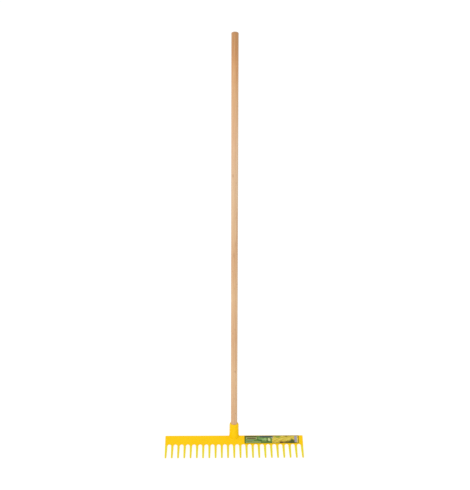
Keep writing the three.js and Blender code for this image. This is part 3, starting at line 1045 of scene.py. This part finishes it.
# Glossy printed film. Its picture is built from soft and crisp fields, placed by their share of
# the label's width and height, so that it reads as a printed label and holds no lettering. The
# soft fields have ruffled outlines, as leaves do, over straw that lies aslant.
RUFFLES = 7                     # to the label's height
RUFFLE_REACH = (0.07, 0.45, 0)
STRAW_SLANT = math.radians(-24)
STRAW_FINENESS = (1.1, 9, 1)    # to the label's height, along a straw and across it
film, tree, shader = new_material("printed_gloss_film", Roughness=0.24, Specular_IOR_Level=0.25)
sheet = add_node(tree, "ShaderNodeUVMap", uv_map="print").outputs["UV"]
ruffle = add_node(tree, "ShaderNodeTexNoise", {
    "Vector": add_node(tree, "ShaderNodeMapping", {
        "Vector": sheet,
        "Scale": (label_width / label_height, 1, 1),
    }).outputs["Vector"],
    "Scale": RUFFLES,
    "Detail": 3.0,
})
ruffled = add_node(tree, "ShaderNodeVectorMath", {
    0: sheet,
    1: add_node(tree, "ShaderNodeVectorMath", {
        0: add_node(tree, "ShaderNodeVectorMath", {
            0: ruffle.outputs["Color"],
            1: (0.5, 0.5, 0.5),
        }, operation="SUBTRACT").outputs["Vector"],
        1: RUFFLE_REACH,
    }, operation="MULTIPLY").outputs["Vector"],
}).outputs["Vector"]
straw_place = add_node(tree, "ShaderNodeMapping", {
    "Vector": add_node(tree, "ShaderNodeMapping", {
        "Vector": sheet,
        "Scale": (label_width / label_height, 1, 1),
        "Rotation": (0, 0, STRAW_SLANT),
    }).outputs["Vector"],
    "Scale": STRAW_FINENESS,
}).outputs["Vector"]
straws = add_node(tree, "ShaderNodeTexNoise", {
    "Vector": straw_place,
    "Scale": 1.0,
    "Detail": 4.0,
}).outputs["Fac"]
straw_share = add_node(tree, "ShaderNodeMapRange", {
    "Value": straws,
    "From Min": 0.35,
    "From Max": 0.62,
}).outputs["Result"]
art = add_node(tree, "ShaderNodeMix", {
    0: straw_share,
    6: linear("#c9a62a"),
    7: linear("#efdc5c"),
}, data_type="RGBA").outputs[2]

# Each field is (middle u, middle v, half width, half height, softness, colour): clumps of darker
# straw, the panel and its dark corners, leaves and flowers on it, and empty bars over it all.
STRIPES_MIDDLE = 0.945          # of the pale field that the upright stripes stand on
STRIPES_REACH = 0.026           # half the width of that field
STRAW_CLUMPS = (
    (0.61, 0.90, 0.09, 0.30, 0.7, "#97a23c"),
    (0.77, 0.92, 0.04, 0.18, 0.7, "#8b7a1c"),
    (0.68, 0.10, 0.06, 0.26, 0.7, "#6b3a06"),
    (0.80, 0.10, 0.10, 0.34, 0.6, "#7a6a12"),
    (0.88, 0.22, 0.07, 0.42, 0.5, "#4d5a20"),
)
PANEL = (
    (0.255, 0.50, 0.26, 0.60, 0.06, "#658839"),
    (0.400, 0.88, 0.14, 0.14, 0.25, "#4c5a55"),
    (0.120, 0.86, 0.12, 0.14, 0.25, "#5f6220"),
)
SPRIGS = (
    (0.290, 0.60, 0.060, 0.22, 0.6, "#7ba35c"),
    (0.340, 0.52, 0.045, 0.20, 0.6, "#8fb670"),
    (0.295, 0.34, 0.040, 0.16, 0.6, "#3f6d2c"),
    (0.385, 0.50, 0.035, 0.24, 0.6, "#9dc075"),
    (0.250, 0.46, 0.035, 0.16, 0.6, "#486f34"),
    (0.425, 0.30, 0.028, 0.14, 0.6, "#33441a"),
    (0.455, 0.50, 0.032, 0.24, 0.6, "#d8e39a"),
    (0.510, 0.72, 0.024, 0.16, 0.6, "#a9a9a0"),
)
BARS = (
    (0.128, 0.66, 0.098, 0.13, 0.10, "#c7cf8c"),
    (0.128, 0.66, 0.088, 0.08, 0.10, "#4f3a14"),
    (0.100, 0.38, 0.075, 0.035, 0.10, "#9bb08c"),
    (0.085, 0.28, 0.060, 0.035, 0.10, "#33512f"),
    (0.160, 0.16, 0.145, 0.040, 0.10, "#cfd684"),
    (STRIPES_MIDDLE, 0.55, STRIPES_REACH, 0.42, 0.12, "#d5d0dc"),
)
for fields, crisp in (
    (STRAW_CLUMPS, False),
    (PANEL, True),
    (SPRIGS, False),
    (BARS, True),
):
    for u, v, half_width_share, half_height_share, softness, colour in fields:
        from_middle = add_node(tree, "ShaderNodeMapping", {
            "Vector": sheet if crisp else ruffled,
            "Location": (-u / half_width_share, -v / half_height_share, 0),
            "Scale": (1 / half_width_share, 1 / half_height_share, 0),
        }).outputs["Vector"]
        if crisp:
            sides = add_node(tree, "ShaderNodeSeparateXYZ", {
                "Vector": add_node(tree, "ShaderNodeVectorMath", {
                    0: from_middle,
                }, operation="ABSOLUTE").outputs["Vector"],
            })
            reach = add_node(tree, "ShaderNodeMath", {
                0: sides.outputs["X"],
                1: sides.outputs["Y"],
            }, operation="MAXIMUM").outputs["Value"]
        else:
            reach = add_node(tree, "ShaderNodeVectorMath", {
                0: from_middle,
            }, operation="LENGTH").outputs["Value"]
        share = add_node(tree, "ShaderNodeMapRange", {
            "Value": reach,
            "From Min": 1.0,
            "From Max": 1.0 - softness,
        }, interpolation_type="SMOOTHSTEP").outputs["Result"]
        art = add_node(tree, "ShaderNodeMix", {
            0: share,
            6: art,
            7: linear(colour),
        }, data_type="RGBA").outputs[2]

# The picture is mottled all over, as halftone leaves and straw are.
mottle = add_node(tree, "ShaderNodeMapRange", {
    "Value": add_node(tree, "ShaderNodeTexNoise", {
        "Vector": straw_place,
        "Scale": 2.6,
        "Detail": 3.0,
    }).outputs["Fac"],
    "From Min": 0.38,
    "From Max": 0.66,
    "To Max": 0.30,
}).outputs["Result"]
art = add_node(tree, "ShaderNodeMix", {
    0: mottle,
    6: art,
    7: linear("#3b4416"),
}, data_type="RGBA").outputs[2]

# A row of plain upright stripes on the pale field at the right.
STRIPES = 62                    # to the label's width
STRIPES_SOFTNESS = 0.004
across = add_node(tree, "ShaderNodeSeparateXYZ", {"Vector": sheet})
stripes = add_node(tree, "ShaderNodeMath", {
    0: add_node(tree, "ShaderNodeMath", {
        0: across.outputs["X"],
        1: math.tau * STRIPES,
    }, operation="MULTIPLY").outputs["Value"],
}, operation="SINE").outputs["Value"]
near_stripes = add_node(tree, "ShaderNodeMapRange", {
    "Value": add_node(tree, "ShaderNodeMath", {
        0: add_node(tree, "ShaderNodeMath", {
            0: across.outputs["X"],
            1: STRIPES_MIDDLE,
        }, operation="SUBTRACT").outputs["Value"],
    }, operation="ABSOLUTE").outputs["Value"],
    "From Min": STRIPES_REACH,
    "From Max": STRIPES_REACH - STRIPES_SOFTNESS,
}).outputs["Result"]
stripe_share = add_node(tree, "ShaderNodeMath", {
    0: near_stripes,
    1: add_node(tree, "ShaderNodeMapRange", {
        "Value": stripes,
        "From Min": -0.1,
        "From Max": 0.3,
    }).outputs["Result"],
}, operation="MULTIPLY").outputs["Value"]
art = add_node(tree, "ShaderNodeMix", {
    0: stripe_share,
    6: art,
    7: linear("#3d3458"),
}, data_type="RGBA").outputs[2]

# A dark edge all round, as shares of the label's width and height.
EDGE_ACROSS = 0.010
EDGE_UP = 0.05
edge_sides = add_node(tree, "ShaderNodeSeparateXYZ", {
    "Vector": add_node(tree, "ShaderNodeVectorMath", {
        0: add_node(tree, "ShaderNodeMapping", {
            "Vector": sheet,
            "Location": (-0.5 / (0.5 - EDGE_ACROSS), -0.5 / (0.5 - EDGE_UP), 0),
            "Scale": (1 / (0.5 - EDGE_ACROSS), 1 / (0.5 - EDGE_UP), 0),
        }).outputs["Vector"],
    }, operation="ABSOLUTE").outputs["Vector"],
})
edge_share = add_node(tree, "ShaderNodeMath", {
    0: add_node(tree, "ShaderNodeMath", {
        0: edge_sides.outputs["X"],
        1: edge_sides.outputs["Y"],
    }, operation="MAXIMUM").outputs["Value"],
    1: 1.0,
}, operation="GREATER_THAN").outputs["Value"]
art = add_node(tree, "ShaderNodeMix", {
    0: edge_share,
    6: art,
    7: linear("#4a470c"),
}, data_type="RGBA").outputs[2]
tree.links.new(art, shader.inputs["Base Color"])
label.data.materials.append(film)
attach(label, "root")
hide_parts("label")
